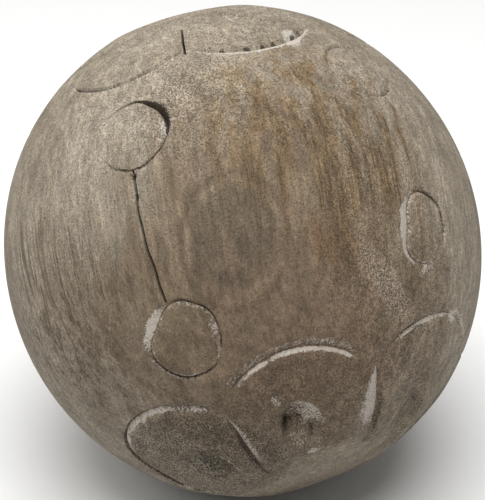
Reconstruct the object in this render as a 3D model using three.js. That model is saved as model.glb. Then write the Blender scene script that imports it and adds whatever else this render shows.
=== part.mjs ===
// A decorative ball, turned from one block of wood and carved by hand.
// Each end of the grain has a rosette: a flattened hub, petals with a round eye in each, leaf-shaped
// gouges between the petals, and round rings further out. It is all cut into the one solid ball.
// Millimetres, +Z up. The origin is the middle of the small flat spot that the ball rests on.
// Lengths are in millimetres, and angles in degrees as seen from the middle of the ball.
import * as THREE from 'three';
import { ConvexHull } from 'three/addons/math/ConvexHull.js';

// The ball, a little longer along the grain than across it
const BALL_RADIUS = 60;
const END_RADIUS = 61.8;
const FOOT_RADIUS = 8;

// The two rosettes. A pole is [azimuth, elevation] of the rosette's middle. Turns are angles round the
// pole, anticlockwise from outside, from the side nearest -Y, and a tilt is an angle away from the pole.
// A petal is [turn, radius, start, end]: its outer cut is an arc of that radius about the petal's own
// middle, from start to end, where 0 points away from the pole. A ring is [turn, tilt].
const LOWER_ROSETTE = {
  pole: [-65, -40],
  petals: [
    [-13, 18, -60, 46],
    [42, 20, -65, 95],
    [112, 18.5, -58, 58],
    [176, 18.5, -58, 58],
    [231, 19, -58, 58],
    [285, 20, -58, 56],
  ],
  gougeTurns: [15, 79, 144, 204, 258, 319],
  rings: [[9, 59], [88, 64], [190, 64], [243, 63], [300, 68.5]],
};
const UPPER_ROSETTE = {
  pole: [117, 54],
  petals: [
    [-14, 18, -54, 50],
    [31, 18, -50, 50],
    [92, 19, -58, 58],
    [155, 19, -58, 58],
    [219, 19, -58, 58],
    [284, 19, -58, 58],
  ],
  gougeTurns: [61, 123, 187, 251, 315],
  rings: [[-10.5, 62.5], [56, 59], [129, 61], [203, 61], [276, 61]],
};

// The carving. A tilt, a radius and a shift are angles, and a depth or a width is a length.
const HUB_TILT = 21;
const HUB_DOME_RADIUS = 120;
const PETAL_TILT = 29.6;
const PETAL_DOME_RADIUS = 81;
const PETAL_CUT = { depth: 1.2, outer: 0.8, inner: 2.2 };
const RING_RADIUS = 8.2;
const RING_CUT = { depth: 1.0, outer: 1.2, inner: 0.9 };
const CUT_END = 12;
const EYE_TILT = 27;
const EYE_RADIUS = 8;
const EYE_DEPTH = 2;
const EYE_WALL = 0.9;
const BOSS_RADIUS = 5.6;
const BOSS_SHIFT = 2.2;
const BOSS_SLOPE = 3.2;
const GOUGE_START = 15.5;
const GOUGE_LENGTH = 23;
const GOUGE_WIDTH = 3.4;
const GOUGE_DEPTH = 1.6;

// How closely the facets follow the surface: gaps between neighbouring corners, as angles
const PLAIN_GAP = 4.1;
const CUT_GAP = 3.2;
const CLEAR_OF_CUTS = 1.9;
const CLOSEST = 0.35;
const FOOT_CORNERS = 24;

const rad = THREE.MathUtils.degToRad;
const deg = THREE.MathUtils.radToDeg;
const clamp01 = (value) => THREE.MathUtils.clamp(value, 0, 1);
const FRONT = new THREE.Vector3(0, -1, 0);
const DOWN = new THREE.Vector3(0, 0, -1);

function direction(azimuth, elevation) {
  const across = Math.cos(rad(elevation));
  const x = across * Math.cos(rad(azimuth));
  const y = across * Math.sin(rad(azimuth));
  return new THREE.Vector3(x, y, Math.sin(rad(elevation)));
}

// Two unit vectors at right angles to a pole: the first leans towards a given side
function crossAxes(pole, side) {
  const first = side.clone().addScaledVector(pole, -side.dot(pole)).normalize();
  return [first, new THREE.Vector3().crossVectors(pole, first)];
}

// The direction tilted away from a pole and turned round it from the first cross axis
function around(pole, axes, tilt, turn) {
  const side = Math.sin(rad(tilt));
  return pole.clone().multiplyScalar(Math.cos(rad(tilt)))
    .addScaledVector(axes[0], side * Math.cos(rad(turn)))
    .addScaledVector(axes[1], side * Math.sin(rad(turn)));
}

function tiltFrom(pole, point) {
  return deg(pole.angleTo(point));
}

function turnAbout(axes, point) {
  return deg(Math.atan2(point.dot(axes[1]), point.dot(axes[0])));
}

function wrapTurn(turn) {
  return THREE.MathUtils.euclideanModulo(turn + 180, 360) - 180;
}

// An angle as a length along the ball's surface, and back
const arcLength = (angle) => rad(angle) * BALL_RADIUS;
const arcAngle = (length) => deg(length / BALL_RADIUS);

// The middles and axes of everything that is carved in one rosette
function layOutRosette(plan) {
  const pole = direction(...plan.pole);
  const axes = crossAxes(pole, FRONT);
  const outward = pole.clone().negate();
  const petals = plan.petals.map(([turn, radius, start, end]) => {
    const centre = around(pole, axes, PETAL_TILT, turn);
    return { centre, axes: crossAxes(centre, outward), radius, start, end, cut: PETAL_CUT };
  });
  const eyes = plan.petals.map(([turn]) => {
    const centre = around(pole, axes, EYE_TILT, turn);
    const boss = around(pole, axes, EYE_TILT - BOSS_SHIFT, turn);
    return { centre, boss, axes: crossAxes(centre, outward) };
  });
  const rings = plan.rings.map(([turn, tilt]) => {
    const centre = around(pole, axes, tilt, turn);
    return { centre, axes: crossAxes(centre, outward), radius: RING_RADIUS, cut: RING_CUT };
  });
  const gouges = plan.gougeTurns.map((turn) => ({ pole, axes, turn }));
  return { pole, petals, eyes, gouges, arcs: [...petals, ...rings] };
}

const rosettes = [LOWER_ROSETTE, UPPER_ROSETTE].map(layOutRosette);
const grain = rosettes[1].pole.clone().sub(rosettes[0].pole).normalize();

// How far from the middle of the ball a shallower dome lies, if it meets the ball at a rim
function domeReach(tilt, rim, domeRadius) {
  const rimWidth = END_RADIUS * Math.sin(rad(rim));
  const domeMiddle = END_RADIUS * Math.cos(rad(rim)) - Math.sqrt(domeRadius ** 2 - rimWidth ** 2);
  const aside = domeMiddle * Math.sin(rad(tilt));
  return domeMiddle * Math.cos(rad(tilt)) + Math.sqrt(domeRadius ** 2 - aside ** 2);
}

// The surface before anything is cut in it: the turned ball, with its hubs and petals pared flatter
function paredReach(point) {
  let reach = BALL_RADIUS + (END_RADIUS - BALL_RADIUS) * point.dot(grain) ** 2;
  for (const { pole, petals } of rosettes) {
    const hubTilt = tiltFrom(pole, point);
    if (hubTilt < HUB_TILT) reach = Math.min(reach, domeReach(hubTilt, HUB_TILT, HUB_DOME_RADIUS));
    for (const { centre, radius } of petals) {
      const tilt = tiltFrom(centre, point);
      if (tilt < radius) reach = Math.min(reach, domeReach(tilt, radius, PETAL_DOME_RADIUS));
    }
  }
  return reach;
}

// A V cut along an arc, with a lip outside it and a lip inside it, that runs out at its ends
function arcDepth({ centre, axes, radius, start, end, cut }, point) {
  const offset = arcLength(tiltFrom(centre, point) - radius);
  const lip = offset > 0 ? cut.outer : cut.inner;
  const depth = cut.depth * clamp01(1 - Math.abs(offset) / lip);
  if (end === undefined) return depth;
  const turn = turnAbout(axes, point);
  return depth * clamp01(Math.min(turn - start, end - turn) / CUT_END);
}

// A crescent hollow between an eye's wall and its round boss, widest on the side away from the hub
function eyeDepth({ centre, boss }, point) {
  const fromWall = arcLength(EYE_RADIUS - tiltFrom(centre, point)) / EYE_WALL;
  const fromBoss = arcLength(tiltFrom(boss, point) - BOSS_RADIUS) / BOSS_SLOPE;
  return EYE_DEPTH * clamp01(fromWall) * clamp01(fromBoss);
}

// A leaf-shaped gouge that points at the pole, with a V across it
function gougeDepth({ pole, axes, turn }, point) {
  const tilt = tiltFrom(pole, point);
  const along = (tilt - GOUGE_START) / GOUGE_LENGTH;
  if (along <= 0 || along >= 1) return 0;
  const swell = Math.sin(Math.PI * along);
  const aside = arcLength(wrapTurn(turnAbout(axes, point) - turn)) * Math.sin(rad(tilt));
  return GOUGE_DEPTH * swell * clamp01(1 - Math.abs(aside) / (swell * GOUGE_WIDTH / 2));
}

function carvedDepth(point) {
  const depths = rosettes.flatMap(({ arcs, eyes, gouges }) => [
    ...arcs.map((arc) => arcDepth(arc, point)),
    ...eyes.map((eye) => eyeDepth(eye, point)),
    ...gouges.map((gouge) => gougeDepth(gouge, point)),
  ]);
  return Math.max(...depths);
}

// One row of directions for each radius about a centre, from a start to an end or all the way round
function arcRows(centre, axes, radii, start = 0, end = 360) {
  const length = (end - start) * Math.sin(rad(radii[0]));
  const steps = Math.round(length / CUT_GAP);
  const rows = [];
  for (const radius of radii) {
    for (let i = 0; i <= steps; i += 1) {
      rows.push(around(centre, axes, radius, start + (end - start) * i / steps));
    }
  }
  return rows;
}

function gougeRows({ pole, axes, turn }) {
  const steps = Math.round(GOUGE_LENGTH / CUT_GAP);
  const rows = [];
  for (let i = 1; i < steps; i += 1) {
    const tilt = GOUGE_START + GOUGE_LENGTH * i / steps;
    const swell = Math.sin(Math.PI * i / steps);
    const edge = arcAngle(GOUGE_WIDTH / 2) * swell / Math.sin(rad(tilt));
    for (const side of [-edge, 0, edge]) rows.push(around(pole, axes, tilt, turn + side));
  }
  return rows;
}

// Rows of directions that follow the lips and the bottom of every cut
function cutRows({ arcs, eyes, gouges }) {
  const rows = gouges.flatMap(gougeRows);
  for (const { centre, axes, radius, start, end, cut } of arcs) {
    const radii = [radius, radius + arcAngle(cut.outer), radius - arcAngle(cut.inner)];
    rows.push(...arcRows(centre, axes, radii, start, end));
  }
  for (const { centre, boss, axes } of eyes) {
    rows.push(...arcRows(centre, axes, [EYE_RADIUS, EYE_RADIUS - arcAngle(EYE_WALL)]));
    rows.push(...arcRows(boss, crossAxes(boss, axes[0]), [BOSS_RADIUS]), boss);
  }
  return rows;
}

// Directions spread evenly over the whole ball, on a spiral from end to end
function spiral(gap) {
  const count = Math.round(4 * Math.PI / (rad(gap) ** 2 * Math.sin(rad(60))));
  const goldenTurn = Math.PI * (3 - Math.sqrt(5));
  return Array.from({ length: count }, (_, i) => {
    const height = 1 - (2 * i + 1) / count;
    return new THREE.Vector3().setFromCylindricalCoords(Math.sqrt(1 - height ** 2), i * goldenTurn, height);
  });
}

function isClear(point, others, gap) {
  const limit = Math.cos(rad(gap));
  return others.every((other) => point.dot(other) < limit);
}

// The corners' directions: the foot's first, then those along the cuts, then the plain ones between
function cornerDirections(footTilt) {
  const footAxes = crossAxes(DOWN, FRONT);
  const foot = [DOWN];
  for (let i = 0; i < FOOT_CORNERS; i += 1) {
    foot.push(around(DOWN, footAxes, footTilt, 360 * i / FOOT_CORNERS));
  }
  const corners = [...foot];
  for (const point of rosettes.flatMap(cutRows)) {
    if (isClear(point, corners, CLOSEST)) corners.push(point);
  }
  const plain = spiral(PLAIN_GAP).filter((point) => isClear(point, corners, CLEAR_OF_CUTS));
  corners.push(...plain.filter((point) => tiltFrom(DOWN, point) > footTilt));
  return { corners, footCount: foot.length };
}

// The triangles that join the directions into a closed skin, which is the hull of them on a round ball.
// A tiny unevenness keeps the corners of one circle out of one plane, so that none is lost.
function joinUp(directions) {
  const points = directions.map((point, i) => point.clone().multiplyScalar(1 + 1e-7 * Math.sin(7 * i)));
  const indexOf = new Map(points.map((point, i) => [point, i]));
  return new ConvexHull().setFromPoints(points).faces.flatMap(({ edge }) => (
    [edge, edge.next, edge.next.next].map((side) => indexOf.get(side.head().point))
  ));
}

function makeBallGeometry() {
  const footTilt = deg(Math.asin(FOOT_RADIUS / BALL_RADIUS));
  const height = paredReach(DOWN) * Math.cos(rad(footTilt));
  const { corners, footCount } = cornerDirections(footTilt);
  const positions = corners.flatMap((point, i) => {
    const toFloor = point.z < 0 ? height / -point.z : Infinity;
    const carved = paredReach(point) - carvedDepth(point);
    const reach = i < footCount ? toFloor : Math.min(carved, toFloor);
    return [point.x * reach, point.y * reach, point.z * reach + height];
  });
  const geometry = new THREE.BufferGeometry();
  geometry.setAttribute('position', new THREE.Float32BufferAttribute(positions, 3));
  geometry.setIndex(joinUp(corners));
  return geometry;
}

const weatheredWood = new THREE.MeshStandardMaterial({ color: 0x8a7a66, roughness: 0.85, metalness: 0 });
const ball = new THREE.Mesh(makeBallGeometry(), weatheredWood);
ball.name = 'carved_ball';

const decorativeBall = new THREE.Group();
decorativeBall.add(ball);
export default decorativeBall;
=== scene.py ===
import bpy
import numpy as np
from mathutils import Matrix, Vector
from mathutils.geometry import delaunay_2d_cdt


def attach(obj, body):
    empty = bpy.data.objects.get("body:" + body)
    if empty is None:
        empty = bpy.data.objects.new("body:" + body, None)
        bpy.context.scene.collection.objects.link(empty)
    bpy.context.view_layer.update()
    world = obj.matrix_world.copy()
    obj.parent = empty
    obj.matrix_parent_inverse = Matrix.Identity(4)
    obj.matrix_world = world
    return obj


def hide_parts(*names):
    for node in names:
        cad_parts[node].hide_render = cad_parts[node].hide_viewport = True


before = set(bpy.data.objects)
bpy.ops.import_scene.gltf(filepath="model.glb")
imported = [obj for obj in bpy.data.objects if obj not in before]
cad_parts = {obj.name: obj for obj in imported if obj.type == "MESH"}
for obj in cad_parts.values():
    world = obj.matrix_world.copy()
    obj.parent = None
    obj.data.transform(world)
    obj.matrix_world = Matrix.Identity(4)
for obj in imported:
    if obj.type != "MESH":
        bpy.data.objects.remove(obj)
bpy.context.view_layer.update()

# ---------------------------------------------------------------------------------------------------
# The carved ball: one block of old wood, turned round on a lathe, then cut by hand with a knife and a
# gouge. Each end of the grain has a rosette of petals, eyes and gouges with rings outside it. Old
# limewash clings to the cut walls, dirt and painted shade lie in their bottoms, and drying has split
# the block.
# ---------------------------------------------------------------------------------------------------

# Shapes are worked out in millimetres from the middle of the ball, and angles in degrees. A place on
# the ball is a unit direction, and its reach is how far out the wood comes in that direction.
MM = 0.001
BALL_RADIUS = 60.0
END_RADIUS = 61.8
FOOT_RADIUS = 8.0
FRONT = np.array([0.0, -1.0, 0.0])
DOWN = np.array([0.0, 0.0, -1.0])


def unit(vectors):
    """Each vector divided by its length."""
    return vectors / np.linalg.norm(vectors, axis=-1, keepdims=True)


def direction(azimuth, elevation):
    """The unit direction at an azimuth from +X and an elevation above level."""
    azimuth, elevation = np.radians(azimuth), np.radians(elevation)
    level = np.cos(elevation)
    return np.array([level * np.cos(azimuth), level * np.sin(azimuth), np.sin(elevation)])


def cross_axes(pole, side):
    """Two unit vectors square to a pole: the first leans to a given side, the second is pole x first."""
    first = unit(side - pole * (side @ pole))
    return first, np.cross(pole, first)


def around(pole, axes, tilt, turn):
    """Pole x cos(tilt) plus, square to it, sin(tilt) at a turn from the first axis to the second."""
    tilt, turn = np.radians(tilt)[..., None], np.radians(turn)[..., None]
    aside = np.cos(turn) * axes[0] + np.sin(turn) * axes[1]
    return np.cos(tilt) * pole + np.sin(tilt) * aside


def tilt_from(pole, places):
    """The angle between each place and the pole."""
    return np.degrees(np.arccos(np.clip(places @ pole, -1.0, 1.0)))


def turn_about(axes, places):
    """The angle round the pole from the first axis, anticlockwise from outside."""
    return np.degrees(np.arctan2(places @ axes[1], places @ axes[0]))


def wrapped(turn):
    """The same turn between -180 and 180."""
    return (turn + 180.0) % 360.0 - 180.0


def held(values):
    """The values, with none below 0 and none above 1."""
    return np.clip(values, 0.0, 1.0)


def swell(turn, middle, reach):
    """1 at a middle turn, falling as half a cosine wave to 0 at a reach on either side of it."""
    away = held(np.abs(wrapped(turn - middle)) / reach)
    return 0.5 + 0.5 * np.cos(np.pi * away)


def arc_length(angle):
    """The length over the ball that an angle at its middle spans: the angle times the radius."""
    return np.radians(angle) * BALL_RADIUS


def arc_angle(length):
    """The angle at the ball's middle that a length over it spans: the length over the radius."""
    return np.degrees(length / BALL_RADIUS)


hand = np.random.default_rng(7)
WAVER_FALL = 0.7


def waver(seed, turn, size, waves):
    """The unsteadiness of a hand-led cut: a sum of sine waves round a full turn, from the fewest
    crests to the most, each with its own phase and lower the more crests it has."""
    chance = np.random.default_rng(seed)
    counts = np.arange(waves[0], waves[1] + 1)
    phases = chance.uniform(0.0, 2 * np.pi, counts.size)
    heights = chance.uniform(0.4, 1.0, counts.size) / counts ** WAVER_FALL
    angles = np.radians(np.asarray(turn))[..., None] * counts + phases
    return size * (np.sin(angles) * heights).sum(axis=-1) / np.sqrt((heights ** 2).sum())


# --- The rosettes' plan. Turns go round a rosette's pole from the side nearest the front, and a tilt
# leads away from the pole. On a petal's arc, a ring or an eye, turn 0 points away from the pole.
HUB_TILT, HUB_DOME_RADIUS = 21.0, 120.0
PETAL_TILT, PETAL_DOME_RADIUS = 29.6, 81.0
RING_RADIUS = 8.2
CUT_END = 12.0
EYE_TILT = 26.8
GOUGE_START, GOUGE_LENGTH = 15.5, 23.0


def petal(turn, radius, start, end, outer=1.2, inner=0.9, depth=1.0, pale=(-10, 60, 0.4), dark=0.5,
          bank=0.15, bulges=(), bed=0.35, inner_wall_shadow=0.0, spill=(0, 1, 0.0)):
    """A petal's outer cut: an arc from start to end, its lips this far outside and inside of its
    bottom. Limewash lies on the inner wall about a turn, over a reach, this thickly. Some lies on
    the outer bank, and some has spilt over the outer lip about a turn, over a reach. Painted shadow
    darkens the inner wall, and open pores darken the petal's bed. The arc bulges about some turns,
    each over a reach and by an angle."""
    return dict(turn=turn, radius=radius, start=start, end=end, outer=outer, inner=inner,
                depth=depth, pale=pale, dark=dark, bank=bank, bulges=bulges, bed=bed, inner_wall_shadow=inner_wall_shadow,
                spill=spill)


def ring(turn, tilt, radius=RING_RADIUS, outer=0.5, inner=0.8, depth=0.5, wide=(90, 60, 1.2),
         pale=0.4, dark=0.5, gap=(180, 20, 0.5), open_to=0.0, dusty=0.0, bulges=(),
         ledge=(0, 1, 1.0)):
    """A ring's cut. Its outer bevel is wider about a turn, over a reach, by a length, with limewash
    on it there. The cut is shallower at a gap, and it is cut deeper at the wide part by open_to. The
    disc inside is as dusty with limewash as dusty says. A second, shallow cut leaves a ledge inside
    the ring about a turn, over a reach, by a length."""
    return dict(turn=turn, tilt=tilt, radius=radius, outer=outer, inner=inner, depth=depth,
                wide=wide, pale=pale, dark=dark, gap=gap, open_to=open_to, dusty=dusty,
                bulges=bulges, ledge=ledge)


def gouge(turn, bend=0.0, width=3.4, depth=1.4, lean=0.3, pale=0.5, full=1.0):
    """A leaf-shaped gouge that bends by a turn as it nears the hub, and is fuller there if full is
    below 1. Its bottom leans to one side, clockwise if lean is above 0, and limewash lies on the
    other wall, the wide one."""
    return dict(turn=turn, bend=bend, width=width, depth=depth, lean=lean, pale=pale, full=full)


def eye(turn, length=8.7, width=5.2, lean=0.0, depth=1.6, steep=55.0, boss=0.9, dark=0.6, lip=0.2,
        shift=(0.0, 0.0), flank=(-28, 60, 0.5)):
    """A long oval eye in a petal: a hollow whose wall is steep on one side, towards a turn, and
    gentle on the other, with an oval boss left standing near the hub end. It leans by a turn.
    Painted highlight, in limewash's colour, lies on the steep side's lit lip and on the lit flank
    towards a turn, over a reach. Painted shade lies in the deep hollow and down the steep wall."""
    return dict(turn=turn, length=length, width=width, lean=lean, depth=depth, steep=steep,
                boss=boss, dark=dark, lip=lip, shift=shift, flank=flank)


LOWER = dict(
    pole=direction(-65, -40),
    petals=[
        petal(-13, 18, -60, 48, outer=2.7, inner=0.95, depth=1.3, pale=(-18, 85, 1.0), bank=0.42,
              dark=0.1, bed=0.5),
        petal(42, 20, -65, 118, outer=0.4, inner=1.7, depth=0.8, pale=(-5, 95, 0.75), dark=0.65,
              bulges=((76, 46, -3.6), (-20, 50, 0.5)), bank=0.0, bed=1.0),
        petal(112, 18.5, -58, 58),
        petal(176, 18.5, -58, 58, outer=0.9, inner=1.4),
        petal(231, 19, -58, 58, depth=0.9),
        petal(285, 20, -42, 62, outer=1.1, inner=0.8, depth=0.7, pale=(8, 80, 0.85), bank=0.25,
              dark=0.15, spill=(-22, 24, 0.8), bed=0.25, bulges=((-40, 40, -1.5),)),
    ],
    eyes=[
        eye(-13, width=5.0, depth=2.4, dark=0.6, boss=0.9, shift=(0.0, 0.4), flank=(-45, 110, 0.66)),
        eye(42, length=9.8, width=4.6, lean=-27, depth=1.5, steep=-80, boss=0.0, dark=0.5, lip=1.0,
            shift=(0.6, 0.6), flank=(0, 1, 0.0)),
        eye(112), eye(176, depth=1.3, lean=8), eye(231, steep=110, boss=0.6),
        eye(285, length=14.0, width=4.8, lean=22, depth=2.4, steep=-70, boss=0.0, dark=0.3, lip=0.0,
            shift=(-3.5, -2.0), flank=(100, 120, 0.4)),
    ],
    gouges=[
        gouge(13.0, bend=18.0, width=3.8, depth=1.4, lean=-0.4, pale=0.8), gouge(79),
        gouge(144, bend=5.0, lean=-0.3), gouge(204), gouge(258, bend=-6.0),
        gouge(-44.2, bend=-10.0, width=8.2, depth=2.0, lean=0.72, pale=0.85, full=0.8),
    ],
    rings=[
        ring(9, 59, radius=8.6, outer=0.5, inner=0.9, wide=(42, 60, 2.2), pale=0.95, depth=0.7, dark=0.7,
             gap=(-141, 22, 0.9), bulges=((40, 60, -2.0), (-109, 50, -0.5)), ledge=(-95, 34, 1.6)),
        ring(88, 64, wide=(150, 60, 0.8)),
        ring(190, 64, wide=(-60, 50, 1.2)),
        ring(243, 63),
        ring(300, 68.5, outer=0.5, inner=0.8, wide=(80, 100, 2.7), pale=1.1, depth=0.75, dark=0.8,
             gap=(-150, 75, 0.7), bulges=((82, 100, -4.0),), ledge=(-110, 30, 1.2)),
    ],
)
UPPER = dict(
    pole=direction(117, 54),
    petals=[
        petal(-14, 17.2, -60, 56, outer=0.6, inner=0.8, depth=0.8, pale=(0, 60, 0.0), dark=0.9,
              bank=0.5, bed=0.1, inner_wall_shadow=0.25, spill=(10, 75, 0.45)),
        petal(31, 18, -48, 58, outer=0.7, inner=1.6, depth=1.3, pale=(66, 26, 0.7), dark=0.4,
              bank=0.9, bed=0.3, inner_wall_shadow=0.75, spill=(8, 80, 1.0)),
        petal(92, 19, -58, 58),
        petal(155, 19, -58, 58, outer=0.8, inner=1.5),
        petal(219, 19, -58, 58, depth=0.9),
        petal(284, 19, -58, 58),
    ],
    eyes=[
        eye(-14, depth=0.5, dark=0.2), eye(34, depth=0.9, steep=60, dark=0.3, boss=0.9), eye(92),
        eye(155, lean=-8), eye(219, steep=100), eye(284, depth=1.3),
    ],
    gouges=[gouge(61), gouge(123, bend=6.0), gouge(187), gouge(251, bend=-5.0), gouge(315)],
    rings=[
        ring(-10.5, 62.5, outer=0.3, inner=0.4, depth=0.5, wide=(118, 48, 1.1), pale=0.0, dark=0.9,
             gap=(-105, 110, 0.8), open_to=1.7, bulges=((-95, 50, 0.8),), ledge=(80, 45, 1.8)),
        ring(56, 59, outer=0.7, inner=0.9, depth=0.55, wide=(-60, 70, 0.8), pale=0.5, dusty=0.6,
             gap=(110, 60, 0.5)),
        ring(129, 61),
        ring(203, 61, wide=(30, 60, 1.3)),
        ring(276, 61),
    ],
)
ROSETTES = [LOWER, UPPER]
grain = unit(UPPER["pole"] - LOWER["pole"])


def place_rosette(rosette):
    """Gives each mark of a rosette its middle and its axes, whose turn 0 points away from the pole."""
    pole = rosette["pole"]
    axes = cross_axes(pole, FRONT)
    rosette["axes"] = axes
    for mark in rosette["petals"] + rosette["rings"]:
        tilt = mark.get("tilt", PETAL_TILT)
        mark["middle"] = around(pole, axes, np.float64(tilt), np.float64(mark["turn"]))
        mark["axes"] = cross_axes(mark["middle"], -pole)
        mark["seed"] = hand.integers(1 << 30)
    for mark in rosette["eyes"]:
        out, aside = mark["shift"]
        turn = mark["turn"] + aside / np.sin(np.radians(EYE_TILT))
        mark["middle"] = around(pole, axes, np.float64(EYE_TILT + out), np.float64(turn))
        mark["axes"] = cross_axes(mark["middle"], -pole)
    for mark in rosette["gouges"]:
        mark["pole"], mark["axes"] = pole, axes


for rosette in ROSETTES:
    place_rosette(rosette)


# --- The surface before anything is cut in it
def dome_reach(tilt, rim, dome_radius):
    """How far out a shallower dome lies, if it meets the ball at a rim: the far crossing of a ray
    from the ball's middle with a sphere whose middle is on the rim's axis."""
    rim_width = END_RADIUS * np.sin(np.radians(rim))
    dome_middle = END_RADIUS * np.cos(np.radians(rim)) - np.sqrt(dome_radius ** 2 - rim_width ** 2)
    aside = dome_middle * np.sin(np.radians(tilt))
    return dome_middle * np.cos(np.radians(tilt)) + np.sqrt(dome_radius ** 2 - aside ** 2)


LUMP_COUNT = 26
LUMP_HEIGHT = 0.34
lumps = unit(hand.normal(size=(LUMP_COUNT, 3))) * hand.uniform(2.0, 11.0, (LUMP_COUNT, 1))
lump_phases = hand.uniform(0.0, 2 * np.pi, LUMP_COUNT)


def hand_worn(places):
    """The slight unevenness of a sanded and handled ball: plane sine waves in many directions, each
    as high as its wavelength allows."""
    waves = np.sin(places @ lumps.T + lump_phases)
    heights = LUMP_HEIGHT / np.linalg.norm(lumps, axis=1)
    return waves @ heights


def pared_reach(places):
    """The turned ball, a little longer along the grain, with its hubs and petals pared flatter."""
    reach = BALL_RADIUS + (END_RADIUS - BALL_RADIUS) * (places @ grain) ** 2
    for rosette in ROSETTES:
        tilt = tilt_from(rosette["pole"], places)
        dome = dome_reach(np.minimum(tilt, HUB_TILT), HUB_TILT, HUB_DOME_RADIUS)
        reach = np.where(tilt < HUB_TILT, np.minimum(reach, dome), reach)
        for mark in rosette["petals"]:
            tilt = tilt_from(mark["middle"], places)
            dome = dome_reach(np.minimum(tilt, mark["radius"]), mark["radius"], PETAL_DOME_RADIUS)
            reach = np.where(tilt < mark["radius"], np.minimum(reach, dome), reach)
    return reach


# --- The cuts. Each cut's function gives the depth of the wood taken away, the limewash left on the
# walls, with painted highlight in the eyes, and the dirt and painted shade in the bottom and on
# shaded walls. An offset is a length outwards from the bottom of a cut.
LEAD = dict(size=0.16, waves=(2, 9))
LIP_WAVES = (4, 36)
INNER_LIP_BREAK = 0.13
WET_EDGE = 0.12


def led_radius(mark, turn):
    """The radius of a hand-led arc: it wavers round its turn, and bulges about some of its turns."""
    radius = mark["radius"] + waver(mark["seed"], turn, **LEAD)
    for middle, reach, by in mark["bulges"]:
        radius = radius + by * swell(turn, middle, reach)
    return radius


def ragged(mark, turn, salt, size, waves):
    """1, give or take a size, unevenly round the turn: how a dry wood's lip breaks under the knife."""
    return 1.0 + waver(mark["seed"] + salt, turn, size, waves)


def v_cut(offset, outer, inner):
    """1 at the bottom, falling straight to 0 at the outer lip and at the inner lip."""
    return held(np.where(offset > 0, 1.0 - offset / outer, 1.0 + offset / inner))


def petal_cut(mark, places):
    """The arc round a petal: a V across it that grows shallow and narrow at both ends. Limewash on
    the inner wall starts just inside the bottom, dirt and painted shade lie along the bottom, and
    the painted shadow on the inner wall is broken up."""
    turn = turn_about(mark["axes"], places)
    offset = arc_length(tilt_from(mark["middle"], places) - led_radius(mark, turn))
    ends = held(np.minimum(turn - mark["start"], mark["end"] - turn) / CUT_END)
    outer = mark["outer"] * ragged(mark, turn, 1, 0.15, LIP_WAVES)
    inner = mark["inner"] * ragged(mark, turn, 2, INNER_LIP_BREAK, LIP_WAVES) * (0.35 + 0.65 * ends)
    cut = v_cut(offset, outer, inner)
    depth = mark["depth"] * cut * ends ** 0.6

    pale_turn, pale_reach, thickness = mark["pale"]
    on_inner = held(-offset / WET_EDGE) * (cut > 0) * swell(turn, pale_turn, pale_reach) ** 0.5
    on_inner = on_inner * np.clip(ragged(mark, turn, 4, 0.2, (8, 70)), 0.0, 1.2)
    on_outer = held(offset / 0.2) * held(cut * 2.5)
    limewash = (thickness * on_inner + mark["bank"] * on_outer) * held(ends * 2)

    spill_turn, spill_reach, spilt = mark["spill"]
    past_lip = held((offset - 0.5 * outer) / 0.3)
    past_lip = past_lip * held((outer + 1.1 - offset) / 0.8)
    limewash = np.maximum(limewash, spilt * past_lip * swell(turn, spill_turn, spill_reach) ** 0.5)

    # Dirt and painted shade along the bottom and the outer wall, then painted shadow down the inner
    # wall, broken up
    dirt_and_shade = mark["dark"] * np.exp(-((offset - 0.15) / 0.3) ** 2) * ends
    on_wall = held(-offset / 0.2) * held(cut * 2.5) * ends
    broken = np.clip(waver(mark["seed"] + 3, turn, 0.8, (9, 40)) + 0.3, 0.0, 1.2)
    dirt_and_shade = np.maximum(dirt_and_shade, mark["inner_wall_shadow"] * on_wall * broken)
    return depth, limewash, dirt_and_shade


LEDGE_DEPTH = 0.3


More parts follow.
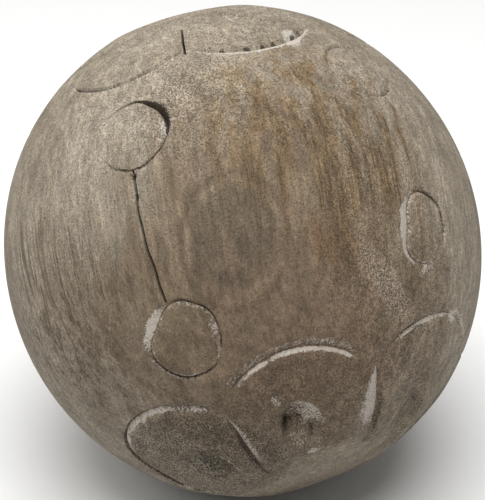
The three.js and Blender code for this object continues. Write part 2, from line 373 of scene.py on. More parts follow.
def ring_cut(mark, places):
    """The cut round a ring: a V whose outer side is a bevel that widens about a turn, less deep at
    its gap, with a shallow ledge inside it. Dirt and painted shade lie in its bottom where limewash
    doesn't, and at the ledge's inner edge."""
    turn = turn_about(mark["axes"], places)
    offset = arc_length(tilt_from(mark["middle"], places) - led_radius(mark, turn))
    wide_turn, wide_reach, extra = mark["wide"]
    wide = swell(turn, wide_turn, wide_reach) ** 0.6
    gap_turn, gap_reach, gap_loss = mark["gap"]
    kept = 1.0 - gap_loss * swell(turn, gap_turn, gap_reach)
    outer = (mark["outer"] + extra * wide) * ragged(mark, turn, 1, 0.1, (3, 24))
    inner = mark["inner"] * ragged(mark, turn, 2, INNER_LIP_BREAK, LIP_WAVES)
    cut = v_cut(offset, outer, inner)
    depth = (mark["depth"] + mark["open_to"] * wide) * kept * cut

    lime_way = np.maximum(wide, 0.7 * mark["pale"] * swell(turn, 125, 75))
    on_bevel = held(offset / 0.2) * held(cut * 4) * lime_way
    on_inner = held(-offset / WET_EDGE) * held(cut * 3) * 0.5
    limewash = mark["pale"] * (on_bevel + on_inner)
    inside = held(-offset / 0.6) * (offset > -30)
    limewash = np.maximum(limewash, 0.4 * mark["dusty"] * inside)

    # Dirt and painted shade in the bottom, spread wider where the cut opens deeper
    spread = 0.25 + 0.5 * mark["open_to"] * wide
    dirt_and_shade = mark["dark"] * np.exp(-((offset - 0.5 * spread) / spread) ** 2) * kept
    dirt_and_shade = dirt_and_shade * (1.0 - mark["pale"] * wide)

    ledge_turn, ledge_reach, ledge_width = mark["ledge"]
    by_ledge = swell(turn, ledge_turn, ledge_reach)
    on_ledge = held((offset + ledge_width) / 0.25) * (offset < 0)
    depth = np.maximum(depth, LEDGE_DEPTH * on_ledge * held(by_ledge * 3))
    limewash = np.maximum(limewash, 0.5 * on_ledge * by_ledge)
    # Dirt and painted shade in the crease at the ledge's inner edge
    dirt_and_shade = np.maximum(dirt_and_shade, 0.55 * np.exp(-((offset + ledge_width) / 0.2) ** 2) * by_ledge)
    return depth, limewash, dirt_and_shade


def eye_flat(mark, places):
    """Lengths along and across an eye from its middle, on the flat: along points away from the hub
    and across anticlockwise, both turned by the eye's lean."""
    tilt = tilt_from(mark["middle"], places)
    turn = np.radians(turn_about(mark["axes"], places) - mark["lean"])
    return arc_length(tilt * np.cos(turn)), arc_length(tilt * np.sin(turn))


# The walls' widths, and the boss's place and size as shares of the eye's length and width
STEEP_WALL, GENTLE_EXTRA = 0.7, 2.6
BOSS_ALONG, BOSS_ACROSS = -0.23, 0.43
BOSS_LENGTH, BOSS_WIDTH, BOSS_WALL = 0.44, 0.48, 0.9


def eye_cut(mark, places):
    """An oval hollow, deepest under its steep wall, round an oval boss near its hub end. Each wall's
    height is the distance from an oval's rim over the wall's own width."""
    along, across = eye_flat(mark, places)
    length, width = arc_length(mark["length"]), arc_length(mark["width"])
    ratio = np.sqrt((along / length) ** 2 + (across / width) ** 2)
    towards = np.degrees(np.arctan2(across, along))
    gentle = 1.0 - swell(towards, mark["steep"], 130.0)
    from_wall = held((1.0 - ratio) * width / (STEEP_WALL + GENTLE_EXTRA * gentle))
    boss_ratio = np.hypot((along / length - BOSS_ALONG) / BOSS_LENGTH,
                          (across / width - BOSS_ACROSS) / BOSS_WIDTH)
    from_boss = held((boss_ratio - 1.0) * width * BOSS_WIDTH / BOSS_WALL)
    hollow = from_wall * (1.0 - mark["boss"] * (1.0 - from_boss))
    tapered = 0.4 + 0.6 * held((along / length + 0.8) / 1.0)
    depth = mark["depth"] * hollow ** 0.8 * tapered

    # Painted shade deep in the hollow and down the steep wall, kept off the lit flank. Painted
    # highlight, in limewash's colour, on the lit flank and the lit lip; a little limewash on the boss
    flank_turn, flank_reach, flank_highlight = mark["flank"]
    on_flank = swell(towards, flank_turn, flank_reach) ** 0.6
    clean = 1.0 - 0.85 * on_flank * (flank_highlight > 0)
    rim = np.exp(-(((ratio - 1.0) * width - 0.05) / 0.32) ** 2) * swell(towards, mark["steep"], 75.0)
    dirt_and_shade = mark["dark"] * held(hollow * tapered * 2.2 - 0.6) * clean
    dirt_and_shade = np.maximum(dirt_and_shade, (1.0 - mark["lip"]) * mark["dark"] * rim)
    on_boss = mark["boss"] * held((1.0 - boss_ratio) * 3) * 0.35
    in_hollow = held((1.0 - ratio) * 6)
    limewash = np.maximum(mark["lip"] * rim, np.maximum(flank_highlight * on_flank * in_hollow, on_boss))
    return depth, limewash, dirt_and_shade


def gouge_run(mark, tilt):
    """How far along a gouge each tilt is, the turn its middle has there and how wide open it is: half
    a sine wave, drawn towards the hub end if it is full there."""
    along = held((tilt - GOUGE_START) / GOUGE_LENGTH)
    path = mark["turn"] + mark["bend"] * (1.0 - along) ** 2
    rise = np.maximum(np.sin(np.pi * along ** mark["full"]), 0.0) ** 0.8
    return along, path, rise


def gouge_cut(mark, places):
    """A leaf-shaped gouge that bends as it nears the hub: a V across it, as wide and as deep as the
    rise of half a sine wave along it. Limewash lies on its wide side, and dirt and painted shadow on
    its narrow, steep one."""
    tilt = tilt_from(mark["pole"], places)
    turn = turn_about(mark["axes"], places)
    along, path, rise = gouge_run(mark, tilt)
    aside = arc_length(wrapped(turn - path)) * np.sin(np.radians(tilt))
    half = np.maximum(rise * mark["width"] / 2, 1e-6)
    off = aside + mark["lean"] * half
    cut = v_cut(off, half * (1 + mark["lean"]), half * (1 - mark["lean"])) * (rise > 0.02)
    depth = mark["depth"] * rise * cut
    wide_way = np.sign(mark["lean"])
    limewash = mark["pale"] * held(off * wide_way / 0.2) * held(cut * 4) * held(along * 3 - 0.3)
    # Dirt and painted shadow on the narrow, steep wall
    dirt_and_shade = 0.55 * (held(-off * wide_way / 0.2 + 0.6) * held(cut * 2)) * rise
    return depth, limewash, dirt_and_shade


# --- The splits, which run along the grain. Each has a turn about the upper pole at its start and at
# its end, the tilts where it starts and ends, and a width.
SPLITS = [
    (-11.3, -11.3, 70.8, 100.6, 0.6),
    (8.6, 7.1, 32.4, 43.4, 0.5),
    (-17.0, -17.0, 76.0, 79.3, 0.16),
]
SPLIT_DEPTH = 2.2
upper_axes = UPPER["axes"]


def split_turn(split, tilt):
    """A split's turn at each tilt: straight from its first to its last, plus a slow cosine wave and a
    quick sine wave where it wanders from fibre to fibre."""
    first, last, start, end, _ = split
    along = (tilt - start) / (end - start)
    slow = -0.3 * np.cos(np.radians((tilt - 84) * 12.9))
    quick = 0.1 * np.sin(np.radians(tilt * 43 + 60))
    return first + (last - first) * along + (slow + quick)


def split_aside(split, places):
    """How far along a split each place is, as a tilt, and how far to its side, as a length."""
    tilt = tilt_from(UPPER["pole"], places)
    aside = arc_length(wrapped(turn_about(upper_axes, places) - split_turn(split, tilt)))
    return tilt, np.abs(aside * np.sin(np.radians(tilt)))


def split_cut(split, places):
    """A narrow V that is widest near its start and closes to nothing at its end."""
    start, end, width = split[2:]
    tilt, aside = split_aside(split, places)
    along = held((tilt - start) / (end - start))
    half = width / 2 * (1.2 - 0.75 * along) * (1 + 0.4 * np.sin(np.radians(tilt * 71)))
    half = half * held(np.minimum(along, 1 - along) * 25)
    cut = held(1.0 - aside / np.maximum(half, 1e-6)) * (half > 1e-3)
    # Painted shade darkens the whole split
    return SPLIT_DEPTH * cut, np.zeros_like(cut), held(cut * 3)


def carve(places):
    """The deepest cut at each place, with the thickest limewash and the darkest dirt and painted shade.
    """
    parts = []
    for rosette in ROSETTES:
        parts += [petal_cut(mark, places) for mark in rosette["petals"]]
        parts += [ring_cut(mark, places) for mark in rosette["rings"]]
        parts += [eye_cut(mark, places) for mark in rosette["eyes"]]
        parts += [gouge_cut(mark, places) for mark in rosette["gouges"]]
    parts += [split_cut(split, places) for split in SPLITS]
    return np.max(np.array(parts), axis=0)


BED_EDGE = 3.0


def bed_pores(places):
    """How open and dirty the wood's pores are: nowhere but in the petals' pared beds, and the more
    so the further inside a petal's arc, up to BED_EDGE."""
    pores = np.zeros(len(places))
    for rosette in ROSETTES:
        for mark in rosette["petals"]:
            inside = arc_length(mark["radius"] - tilt_from(mark["middle"], places)) / BED_EDGE
            pores = np.maximum(pores, mark["bed"] * held(inside))
    return pores


# --- The mesh: rows of corners that follow every cut, and corners spread evenly over the rest
STEP = 0.45
PLAIN_GAP = 0.92
PETAL_ROWS = np.array([1.15, 0.72, 0.32, 0.0, -0.32, -0.72, -1.25, -1.9, -2.6])
BANKED_PETAL_ROWS = np.concatenate([[3.0, 2.3, 1.7], PETAL_ROWS])
RING_ROWS = np.concatenate([[3.5, 2.9, 2.3, 1.7], PETAL_ROWS[:-2]])


def spread_out(gap):
    """Directions a gap apart, on a spiral from the ball's top to its bottom: the level falls in
    equal steps, and each step turns by the golden angle."""
    count = round(4 * np.pi / (np.radians(gap) ** 2 * np.sin(np.radians(60))))
    step = np.arange(count)
    level = 1 - (2 * step + 1) / count
    out = np.sqrt(1 - level ** 2)
    turn = step * np.pi * (3 - np.sqrt(5))
    return np.stack([out * np.cos(turn), out * np.sin(turn), level], axis=-1)


ROW_SPARE = 0.4


def arc_corners(mark, rows):
    """Corners on a grid along an arc, with a row at each of these offsets, every other row half a
    step further on."""
    start, end = mark.get("start", -180.0), mark.get("end", 180.0)
    length = arc_length(end - start) * np.sin(np.radians(mark["radius"]))
    count = round(length / STEP)
    turn = start + (end - start) * (np.arange(count) + 0.5) / count
    shift = (end - start) / count * 0.25 * (-1.0) ** np.arange(len(rows))
    turn, offset = np.broadcast_arrays(turn[None, :] + shift[:, None], rows[:, None])
    tilt = led_radius(mark, turn) + arc_angle(offset)
    return around(mark["middle"], mark["axes"], tilt, turn).reshape(-1, 3)


def arc_covers(mark, places, rows):
    """Whether each place lies in the band of rows along an arc, or closer to it than ROW_SPARE."""
    turn = turn_about(mark["axes"], places)
    offset = arc_length(tilt_from(mark["middle"], places) - led_radius(mark, turn))
    start, end = mark.get("start", -180.0), mark.get("end", 180.0)
    inside = (offset < rows[0] + ROW_SPARE) & (offset > rows[-1] - ROW_SPARE)
    return inside & (turn > start - 1) & (turn < end + 1)


# Rows round an eye, as shares of the way from its middle to its rim
EYE_ROWS = np.concatenate([[0.06], np.arange(0.14, 0.9, 0.085), [0.93, 0.98, 1.02, 1.08]])
EYE_COVER = 1.12


def eye_corners(mark):
    """Oval rows of corners about an eye's middle, closest together at its rim."""
    length, width = mark["length"], mark["width"]
    rings = []
    for share in EYE_ROWS:
        radius = share * (length + width) / 2
        count = max(6, round(2 * np.pi * BALL_RADIUS * np.sin(np.radians(radius)) / STEP))
        turn = 2 * np.pi * (np.arange(count) + 3.7 * share) / count
        along, across = share * length * np.cos(turn), share * width * np.sin(turn)
        towards = np.degrees(np.arctan2(across, along)) + mark["lean"]
        rings.append(around(mark["middle"], mark["axes"], np.hypot(along, across), towards))
    return np.concatenate(rings)


def eye_covers(mark, places):
    """Whether each place lies within an eye's oval, made this much larger."""
    along, across = eye_flat(mark, places)
    length, width = arc_length(mark["length"]), arc_length(mark["width"])
    return np.hypot(along / length, across / width) < EYE_COVER


def gouge_corners(mark):
    """Corners along a gouge's bending path, in nine rows from lip to lip: at its bottom, close by it
    on both sides, half-way up each wall, at each lip and beyond it."""
    count = round(arc_length(GOUGE_LENGTH) / STEP)
    along = (np.arange(count) + 0.5)[None, :] / count
    lean = mark["lean"]
    rows = np.array([1.2, 1.0, 0.5 - 0.5 * lean, 0.2 - lean, -lean, -lean - 0.2, -0.5 - 0.5 * lean,
                     -1.0, -1.2])[:, None]
    tilt = GOUGE_START + GOUGE_LENGTH * along
    _, path, rise = gouge_run(mark, tilt)
    aside = rows * np.maximum(rise * mark["width"] / 2, 0.3)
    turn = path + arc_angle(aside) / np.sin(np.radians(tilt))
    tilt, turn = np.broadcast_arrays(tilt, turn)
    return around(mark["pole"], mark["axes"], tilt, turn).reshape(-1, 3)


def gouge_covers(mark, places):
    """Whether each place lies between a gouge's outermost rows."""
    tilt = tilt_from(mark["pole"], places)
    along, path, rise = gouge_run(mark, tilt)
    aside = arc_length(wrapped(turn_about(mark["axes"], places) - path)) * np.sin(np.radians(tilt))
    half = 1.2 * rise * mark["width"] / 2 + 0.35
    return (np.abs(aside) < half) & (along > 0) & (along < 1)


SPLIT_ROWS = np.array([1.6, 0.62, 0.0, -0.62, -1.6])


def split_corners(split):
    """Corners along a split, with a row at each of its widths times SPLIT_ROWS to the side."""
    start, end, width = split[2:]
    tilt = np.arange(start, end, arc_angle(STEP))[None, :]
    aside = width * SPLIT_ROWS[:, None]
    turn = split_turn(split, tilt) + arc_angle(aside) / np.sin(np.radians(tilt))
    tilt, turn = np.broadcast_arrays(tilt, turn)
    return around(UPPER["pole"], upper_axes, tilt, turn).reshape(-1, 3)


def split_covers(split, places):
    """Whether each place lies between a split's outermost rows, or just beside them."""
    start, end, width = split[2:]
    tilt, aside = split_aside(split, places)
    return (aside < SPLIT_ROWS[0] * width + 0.3) & (tilt > start - 0.2) & (tilt < end + 0.2)


FOOT_CORNERS = 96


def lay_corners(foot_tilt):
    """The foot's corners, then each cut's where no earlier cut has its own, then the plain ones."""
    foot_axes = cross_axes(DOWN, FRONT)
    turn = 360.0 * np.arange(FOOT_CORNERS) / FOOT_CORNERS
    foot = around(DOWN, foot_axes, np.full(FOOT_CORNERS, foot_tilt), turn)
    pieces = []
    covers = []

    def add(corners, cover):
        """Keeps the corners that no earlier cut covers, and what this cut covers."""
        for earlier in covers:
            corners = corners[~earlier(corners)]
        pieces.append(corners)
        covers.append(cover)

    for split in SPLITS:
        add(split_corners(split), lambda places, split=split: split_covers(split, places))
    for rosette in ROSETTES:
        for mark in rosette["rings"]:
            add(arc_corners(mark, RING_ROWS),
                lambda places, mark=mark: arc_covers(mark, places, RING_ROWS))
        for mark in rosette["petals"]:
            rows = BANKED_PETAL_ROWS if mark["outer"] > 1.2 else PETAL_ROWS
            add(arc_corners(mark, rows),
                lambda places, mark=mark, rows=rows: arc_covers(mark, places, rows))
        for mark in rosette["eyes"]:
            add(eye_corners(mark), lambda places, mark=mark: eye_covers(mark, places))
        for mark in rosette["gouges"]:
            add(gouge_corners(mark), lambda places, mark=mark: gouge_covers(mark, places))
    add(spread_out(PLAIN_GAP), None)
    corners = np.concatenate(pieces)
    clear = tilt_from(DOWN, corners) > foot_tilt + ROW_SPARE
    return np.concatenate([foot, corners[clear]]), len(foot)


def join_up(corners, foot_count):
    """Triangles between the corners. Seen from the bottom, the ball opens out flat with x and y
    divided by 1 + z, where the triangles whose circles hold no other corner are found, and those
    circles are circles on the ball too. The foot is a fan about its middle."""
    flat = corners[:, :2] / (1.0 + corners[:, 2:])
    flat_corners, _, faces, *_ = delaunay_2d_cdt(flat.tolist(), [], [], 0, 1e-12)
    if len(flat_corners) != len(corners):
        raise ValueError(f"{len(corners)} corners became {len(flat_corners)}")
    faces = np.array(faces)
    rim = np.arange(foot_count)
    middle = np.full(foot_count, len(corners))
    return faces, np.stack([rim, np.roll(rim, -1), middle], axis=-1)


def turned_out(points, faces):
    """The faces with their corners in the order that makes each normal point away from the middle."""
    a, b, c = (points[faces[:, k]] for k in range(3))
    inward = (np.cross(b - a, c - a) * (a + b + c)).sum(axis=1) < 0
    faces[inward] = faces[inward][:, ::-1]
    return faces


foot_tilt = np.degrees(np.arcsin(FOOT_RADIUS / BALL_RADIUS))
corners, foot_count = lay_corners(foot_tilt)
depth, limewash, dirt_and_shade = carve(corners)
height = pared_reach(DOWN[None, :])[0] * np.cos(np.radians(foot_tilt))
reach = pared_reach(corners) + hand_worn(corners) - depth

# The foot is flat: nothing reaches lower than the floor, which lies at the height below the middle
to_floor = np.where(corners[:, 2] < -0.1, height / -np.minimum(corners[:, 2], -0.1), np.inf)
reach = np.where(np.arange(len(corners)) < foot_count, to_floor, np.minimum(reach, to_floor))
faces, foot_fan = join_up(corners, foot_count)
points = np.concatenate([corners * reach[:, None], [[0.0, 0.0, -height]]])
faces = turned_out(points, np.concatenate([faces, foot_fan]))

SHARP_ANGLE = 32
mesh = bpy.data.meshes.new("carved_wood_ball")
mesh.from_pydata((points + [0.0, 0.0, height]) * MM, [], faces.tolist())
# Per corner: limewash, the dirt and painted shade of the cuts, and open pores
for name, amounts in (("limewash", limewash), ("dirt_and_shade", dirt_and_shade), ("pores", bed_pores(corners))):
    layer = mesh.attributes.new(name, "FLOAT", "POINT")
    layer.data.foreach_set("value", np.append(np.clip(amounts, 0, 1), 0.0).astype(np.float32))
mesh.shade_smooth()
mesh.set_sharp_from_angle(angle=np.radians(SHARP_ANGLE))
wood_ball = bpy.data.objects.new("carved_wood_ball", mesh)
bpy.context.scene.collection.objects.link(wood_ball)


# --- The finish: old dry wood, silvered and stained, with limewash, dirt and painted shade in the cuts
class Shade:
    """A socket of the finish's nodes. Sums and products on it add Math nodes."""

    def __init__(self, tree, socket):
        self.tree = tree
        self.socket = socket

    def node(self, kind, settings, inputs, output=0):
        """Adds a node: its settings first, then a value or a link for each of its sockets."""
        node = self.tree.nodes.new(kind)
        for name, value in settings.items():
            setattr(node, name, value)
        for name, value in inputs.items():
            if isinstance(value, Shade):
                self.tree.links.new(value.socket, node.inputs[name])
            else:
                node.inputs[name].default_value = value
        return Shade(self.tree, node.outputs[output])

    def maths(self, operation, *values, clamp=False):
        """The operation on the values, held between 0 and 1 if clamped."""
        settings = {"operation": operation, "use_clamp": clamp}
        return self.node("ShaderNodeMath", settings, dict(enumerate(values)))

    def __add__(self, other):
        return self.maths("ADD", self, other)

    def __sub__(self, other):
        return self.maths("SUBTRACT", self, other)

    def __rsub__(self, other):
        return self.maths("SUBTRACT", other, self)

    def __mul__(self, other):
        return self.maths("MULTIPLY", self, other)

    __radd__ = __add__
    __rmul__ = __mul__

    def between(self, low, high):
        """0 up to low and 1 from high on, with a smooth step between."""
        settings = {"interpolation_type": "SMOOTHSTEP", "clamp": True}
        inputs = {"Value": self, "From Min": low, "From Max": high}
        return self.node("ShaderNodeMapRange", settings, inputs)

    def clamped(self):
        """This value, held between 0 and 1."""
        return self.maths("ADD", self, 0.0, clamp=True)

    def dot(self, vector):
        """How far this vector goes along another: the sum of the products of their parts."""
        settings = {"operation": "DOT_PRODUCT"}
        return self.node("ShaderNodeVectorMath", settings, {0: self, 1: tuple(vector)}, "Value")

    def stretched(self, x, y, z):
        """A vector with each of its parts multiplied."""
        return self.node("ShaderNodeVectorMath", {"operation": "MULTIPLY"}, {0: self, 1: (x, y, z)})

    def noise(self, scale=1.0, detail=2.0, rough=0.5, bend=0.0):
        """Soft cloudy noise at this place, with so many lumps to a unit of length."""
        inputs = {"Vector": self, "Scale": scale, "Detail": detail, "Roughness": rough,
                  "Distortion": bend}
        return self.node("ShaderNodeTexNoise", {"noise_dimensions": "3D"}, inputs)

    def blend(self, low, high, under, over):
        """A colour that turns from one to another as this value goes from low to high."""
        inputs = {"Factor": self.between(low, high), 6: under, 7: over}
        return self.node("ShaderNodeMix", {"data_type": "RGBA"}, inputs, 2)

    def painted(self, mask, colour):
        """This colour with another over it where the mask is 1."""
        inputs = {"Factor": mask, 6: self, 7: colour}
        return self.node("ShaderNodeMix", {"data_type": "RGBA"}, inputs, 2)

    def shaded(self, strength, by):
        """This colour multiplied by a grey value, as far as the strength goes."""
        grey = self.node("ShaderNodeCombineColor", {}, {0: by, 1: by, 2: by})
        settings = {"data_type": "RGBA", "blend_type": "MULTIPLY"}
        return self.node("ShaderNodeMix", settings, {"Factor": strength, 6: self, 7: grey}, 2)


def tint(red, green, blue):
    """A colour from its display values, 0 to 255, in linear light."""
    share = np.array([red, green, blue]) / 255
    linear = np.where(share <= 0.04045, share / 12.92, ((share + 0.055) / 1.055) ** 2.4)
    return (*linear.tolist(), 1.0)


wood = bpy.data.materials.new("weathered_wood_finish")
wood.use_nodes = True
tree = wood.node_tree
shader = tree.nodes["Principled BSDF"]
start = Shade(tree, None)

# A place in millimetres from the middle of the ball, then in axes that run with the grain
here = start.node("ShaderNodeTexCoord", {}, {}, "Object")
here = here.node("ShaderNodeVectorMath", {"operation": "SUBTRACT"}, {0: here, 1: (0, 0, height * MM)})
here = here.stretched(1 / MM, 1 / MM, 1 / MM)
fibre_way = direction(104, 50)
fibre_axes = cross_axes(fibre_way, FRONT)
ahead, aside, along = here.dot(fibre_axes[0]), here.dot(fibre_axes[1]), here.dot(fibre_way)
in_grain = here.node("ShaderNodeCombineXYZ", {}, {0: aside, 1: ahead, 2: along})


def patch(azimuth, elevation, inner, outer, ragged_by):
    """1 within an angle of a place on the ball and 0 beyond another, with a broken edge."""
    towards = here.dot(direction(azimuth, elevation) / BALL_RADIUS)
    edge = towards + (ragged_by - 0.5) * 0.35
    return edge.between(float(np.cos(np.radians(outer))), float(np.cos(np.radians(inner))))


def smear(azimuth, elevation, length, width, lean):
    """1 in the middle of an oval on the ball and 0 at its rim. Its length, in millimetres from middle
    to tip, leans by a turn from straight up, anticlockwise from outside."""
    towards = direction(azimuth, elevation)
    up, left = cross_axes(towards, np.array([0.0, 0.0, 1.0]))
    lean = np.radians(lean)
    far_along = here.dot((up * np.cos(lean) + left * np.sin(lean)) / length)
    far_across = here.dot((left * np.cos(lean) - up * np.sin(lean)) / width)
    near = 1.0 - (far_along * far_along + far_across * far_across).between(0.0, 1.0)
    return near * here.dot(towards / BALL_RADIUS).between(0.0, 0.2)


# Patterns in the wood, from broad to fine. Those in the grain are drawn out along it.
blotches = in_grain.stretched(1.0, 1.0, 0.6).noise(0.05, 4.0, 0.6, 0.5)
broad = in_grain.stretched(1.0, 1.0, 0.35).noise(0.12, 3.0, 0.6)
bands = in_grain.stretched(1.0, 1.0, 0.1).noise(0.24, 3.0, 0.62, 0.3)
streaks = in_grain.stretched(1.0, 1.0, 0.05).noise(0.7, 3.0, 0.6, 0.2)
fibres = in_grain.stretched(1.0, 1.0, 0.09).noise(2.2, 3.0, 0.65, 0.15)
mottles = in_grain.stretched(1.0, 1.0, 0.5).noise(0.26, 4.0, 0.62)
grit = here.noise(2.6, 2.0, 0.8)
crumbs = here.noise(0.9, 3.0, 0.7)

# The colours of the wood and of what lies on it
SILVER, PALE_SILVER, WORN_SILVER = tint(136, 125, 109), tint(152, 142, 126), tint(156, 147, 132)
BROWN, PALE_BROWN, DARK_BROWN = tint(117, 102, 84), tint(136, 121, 102), tint(92, 79, 63)
OCHRE, DEEP_OCHRE, RED_BROWN = tint(126, 104, 75), tint(106, 84, 58), tint(114, 93, 77)
HEARTWOOD, HEARTWOOD_EDGE = tint(90, 80, 67), tint(82, 70, 56)
# The last colour here darkens the cuts: dirt and painted shade alike
OPEN_GRAIN, PORE, DIRT_AND_SHADE = tint(82, 69, 54), tint(50, 42, 33), tint(44, 35, 27)
LIMEWASH, LIME_DUST = tint(196, 187, 176), tint(190, 180, 166)

# Silvered wood, with a browner face where it has been handled and an ochre stain in it. The paler
# silver towards the rim is partly the wood's silvering and partly a painted sheen of grazing light.
wood_colour = blotches.blend(0.35, 0.65, SILVER, PALE_SILVER)
browned = patch(-84, 20, 18, 58, broad)
wood_colour = wood_colour.painted(browned, BROWN)
wood_colour = wood_colour.painted(mottles.between(0.5, 0.72) * browned * 0.45, PALE_BROWN)
ochre = patch(-60, 50, 2, 32, bands)
wood_colour = wood_colour.painted(ochre * bands.between(0.38, 0.6) * 0.85, OCHRE)
stain = smear(-67, 28, 10, 7, 20)
wood_colour = wood_colour.painted(stain * mottles.between(0.3, 0.5) * 0.9, DEEP_OCHRE)
wood_colour = wood_colour.painted(bands.between(0.5, 0.64) * browned * 0.6, DARK_BROWN)

# An oval of heartwood with a dark edge round it like an arch, then the red and the pale parts
heartwood = smear(-92, 31, 15, 12, 0)
wood_colour = wood_colour.painted(heartwood.between(0.15, 0.55) * 0.7, HEARTWOOD)
arch = smear(-92, 30, 19, 15, 0)
arch_edge = arch.between(0.1, 0.28) - arch.between(0.28, 0.5)
wood_colour = wood_colour.painted(arch_edge * mottles.between(0.3, 0.55) * 0.6, HEARTWOOD_EDGE)
reddened = patch(-76, 12, 4, 28, mottles)
wood_colour = wood_colour.painted(reddened * 0.4, RED_BROWN)
pale_streak = patch(-137, 36, 3, 20, bands)
wood_colour = wood_colour.painted(pale_streak * 0.5, WORN_SILVER)

# Painted shade: lighter at the top and darker underneath, as the light falls; darker at the lower left
painted_underside_shade = here.dot((0, 0, -1 / BALL_RADIUS)).between(-0.3, 0.6)
wood_colour = wood_colour.shaded(1.0, 1.04 - 0.3 * painted_underside_shade)
wood_colour = wood_colour.shaded(patch(-105, -15, 10, 50, mottles), 0.86 + 0.1 * mottles)

# Dark streaks where the grain is open, then fibres, and crumbs and grit between them. The middle is
# worn smooth; the side towards the right and the upper left are rough.
worn = patch(-97, 20, 4, 42, broad)
rough = (smear(-50, 18, 40, 22, 0) + smear(-112, 60, 20, 20, 0) * 0.6).clamped()
coarse = 0.7 - 0.32 * worn + 0.5 * rough
open_grain = (patch(-54, 48, 3, 26, bands) + patch(-138, 2, 6, 34, bands)).clamped()
wood_colour = wood_colour.painted(open_grain * streaks.between(0.48, 0.58) * 0.75, OPEN_GRAIN)
wood_colour = wood_colour.shaded(1.0, 0.84 + 0.32 * streaks.between(0.32, 0.68))
wood_colour = wood_colour.shaded(1.0, 0.84 + 0.32 * mottles.between(0.3, 0.7))
wood_colour = wood_colour.shaded(0.5 + 0.5 * open_grain, 0.8 + 0.4 * fibres.between(0.36, 0.64))
wood_colour = wood_colour.shaded(coarse, 0.82 + 0.36 * crumbs.between(0.34, 0.66))
wood_colour = wood_colour.shaded(coarse, 0.62 + 0.76 * grit.between(0.38, 0.62))

# Limewash on the cuts' walls and splashed beside them, broken up by the grit, and a dusting of it
limewash_here = start.node("ShaderNodeAttribute", {"attribute_name": "limewash"}, {}, "Fac")
splashed = (0.75 * smear(-73, -23, 2.2, 1.4, -60) + 0.5 * smear(-83, -6.5, 2.4, 1.5, 20)
            + 1.0 * smear(-24, 78, 5.5, 3.0, -50) + 0.55 * smear(-43, 15.5, 1.6, 4.0, 0)
            + 0.75 * smear(-35, 0.5, 2.2, 2.6, 0) + 0.3 * smear(-120, 60, 12, 7, 30))
lime_here = (limewash_here + splashed).clamped()
ragged_lime = lime_here + (grit - 0.5) * 1.7 + (crumbs - 0.5) * 1.1
lime_mask = ragged_lime.between(0.3, 0.85) * lime_here.between(0.03, 0.15)
wood_colour = wood_colour.painted(lime_mask * 0.85, LIMEWASH)
dusty = smear(-55, 15, 15, 4.5, 25)
wood_colour = wood_colour.painted(dusty * grit.between(0.5, 0.6) * 0.6, LIME_DUST)

# Open pores, then the dirt and painted shade in the cuts' bottoms and shaded walls, both in specks
pores = start.node("ShaderNodeAttribute", {"attribute_name": "pores"}, {}, "Fac")
speck = 1.0 - grit
pore_mask = (speck + pores * 0.11 + (crumbs - 0.5) * 0.35).between(0.58, 0.68)
wood_colour = wood_colour.painted(pore_mask * (0.2 + 0.65 * pores), PORE)
dirt_and_shade_here = start.node("ShaderNodeAttribute", {"attribute_name": "dirt_and_shade"}, {}, "Fac")
dirt_and_shade_mask = (dirt_and_shade_here * 1.35 + (speck - 0.5) * 1.4 + (crumbs - 0.5) * 0.9).between(0.3, 0.85)
dirt_and_shade_mask = dirt_and_shade_mask * dirt_and_shade_here.between(0.04, 0.2)
wood_colour = wood_colour.painted(dirt_and_shade_mask * 0.85, DIRT_AND_SHADE)

# Fine relief too small for the mesh: streaks, fibres, grit and pores, in a dull dry surface
relief = 0.4 * streaks + 0.4 * fibres + 0.6 * grit + 0.8 * mottles - 0.5 * pore_mask
FINE_RELIEF = 0.4
bump_settings = {"Strength": 0.7, "Distance": FINE_RELIEF * MM, "Height": relief}
bump = here.node("ShaderNodeBump", {}, bump_settings)
tree.links.new(wood_colour.socket, shader.inputs["Base Color"])
tree.links.new((0.74 + 0.24 * grit).socket, shader.inputs["Roughness"])
tree.links.new(bump.socket, shader.inputs["Normal"])
shader.inputs["Specular IOR Level"].default_value = 0.25

mesh.materials.append(wood)
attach(wood_ball, "root")
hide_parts("carved_ball")

# ---------------------------------------------------------------------------------------------------
# The studio: a pale card under the ball, a white room round it, and two round soft lights: a large
# one overhead, a little to the front, and a smaller and weaker one high on the left.
# ---------------------------------------------------------------------------------------------------
FLOOR_HALF = 3.0
ROOM_BRIGHTNESS = 0.22
middle = (0.0, 0.0, height * MM)


def plain(name, colour, roughness):
    """A finish that is one colour and one roughness all over."""
    material = bpy.data.materials.new(name)
    material.use_nodes = True
    card = material.node_tree.nodes["Principled BSDF"]
    card.inputs["Base Color"].default_value = colour
    card.inputs["Roughness"].default_value = roughness
    return material


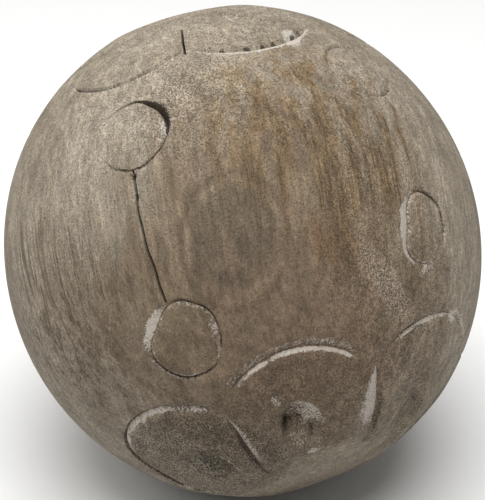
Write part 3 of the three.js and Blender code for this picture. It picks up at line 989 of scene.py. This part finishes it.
floor_mesh = bpy.data.meshes.new("pale_floor")
floor_mesh.from_pydata(
    [(-FLOOR_HALF, -FLOOR_HALF, 0), (FLOOR_HALF, -FLOOR_HALF, 0), (FLOOR_HALF, FLOOR_HALF, 0),
     (-FLOOR_HALF, FLOOR_HALF, 0)], [], [(0, 1, 2, 3)])
floor_mesh.materials.append(plain("pale_card", tint(245, 245, 244), 0.9))
floor = bpy.data.objects.new("pale_floor", floor_mesh)
bpy.context.scene.collection.objects.link(floor)

room = bpy.data.worlds.new("white_room")
room.use_nodes = True
room_light = room.node_tree.nodes["Background"]
room_light.inputs["Color"].default_value = (1.0, 1.0, 1.0, 1.0)
room_light.inputs["Strength"].default_value = ROOM_BRIGHTNESS
bpy.context.scene.world = room


def aim(thing, place, target):
    """Puts a camera or a light at a place, facing a target."""
    thing.location = place
    thing.rotation_euler = (Vector(target) - Vector(place)).to_track_quat("-Z", "Y").to_euler()


def soft_light(name, azimuth, elevation, distance, size, watts):
    """A round lamp, in metres, at an azimuth and an elevation from the ball's middle, facing it."""
    lamp = bpy.data.lights.new(name, "AREA")
    lamp.shape = "DISK"
    lamp.size = size
    lamp.energy = watts
    thing = bpy.data.objects.new(name, lamp)
    bpy.context.scene.collection.objects.link(thing)
    aim(thing, (direction(azimuth, elevation) * distance + middle).tolist(), middle)


soft_light("overhead_softbox", azimuth=-90, elevation=80, distance=1.0, size=1.0, watts=13.5)
soft_light("left_softbox", azimuth=-160, elevation=45, distance=1.0, size=0.8, watts=2.4)

# The camera looks down on the ball from the front, and its lens shows the ball almost edge to edge
CAMERA_ELEVATION = 28.0
CAMERA_DISTANCE = 8 * BALL_RADIUS * MM
LENS = 137.2
camera = bpy.data.cameras.new("camera")
camera.lens = LENS
viewer = bpy.data.objects.new("camera", camera)
bpy.context.scene.collection.objects.link(viewer)
aim(viewer, (direction(-90, CAMERA_ELEVATION) * CAMERA_DISTANCE + middle).tolist(), middle)
bpy.context.scene.camera = viewer
bpy.context.scene.view_settings.view_transform = "Standard"
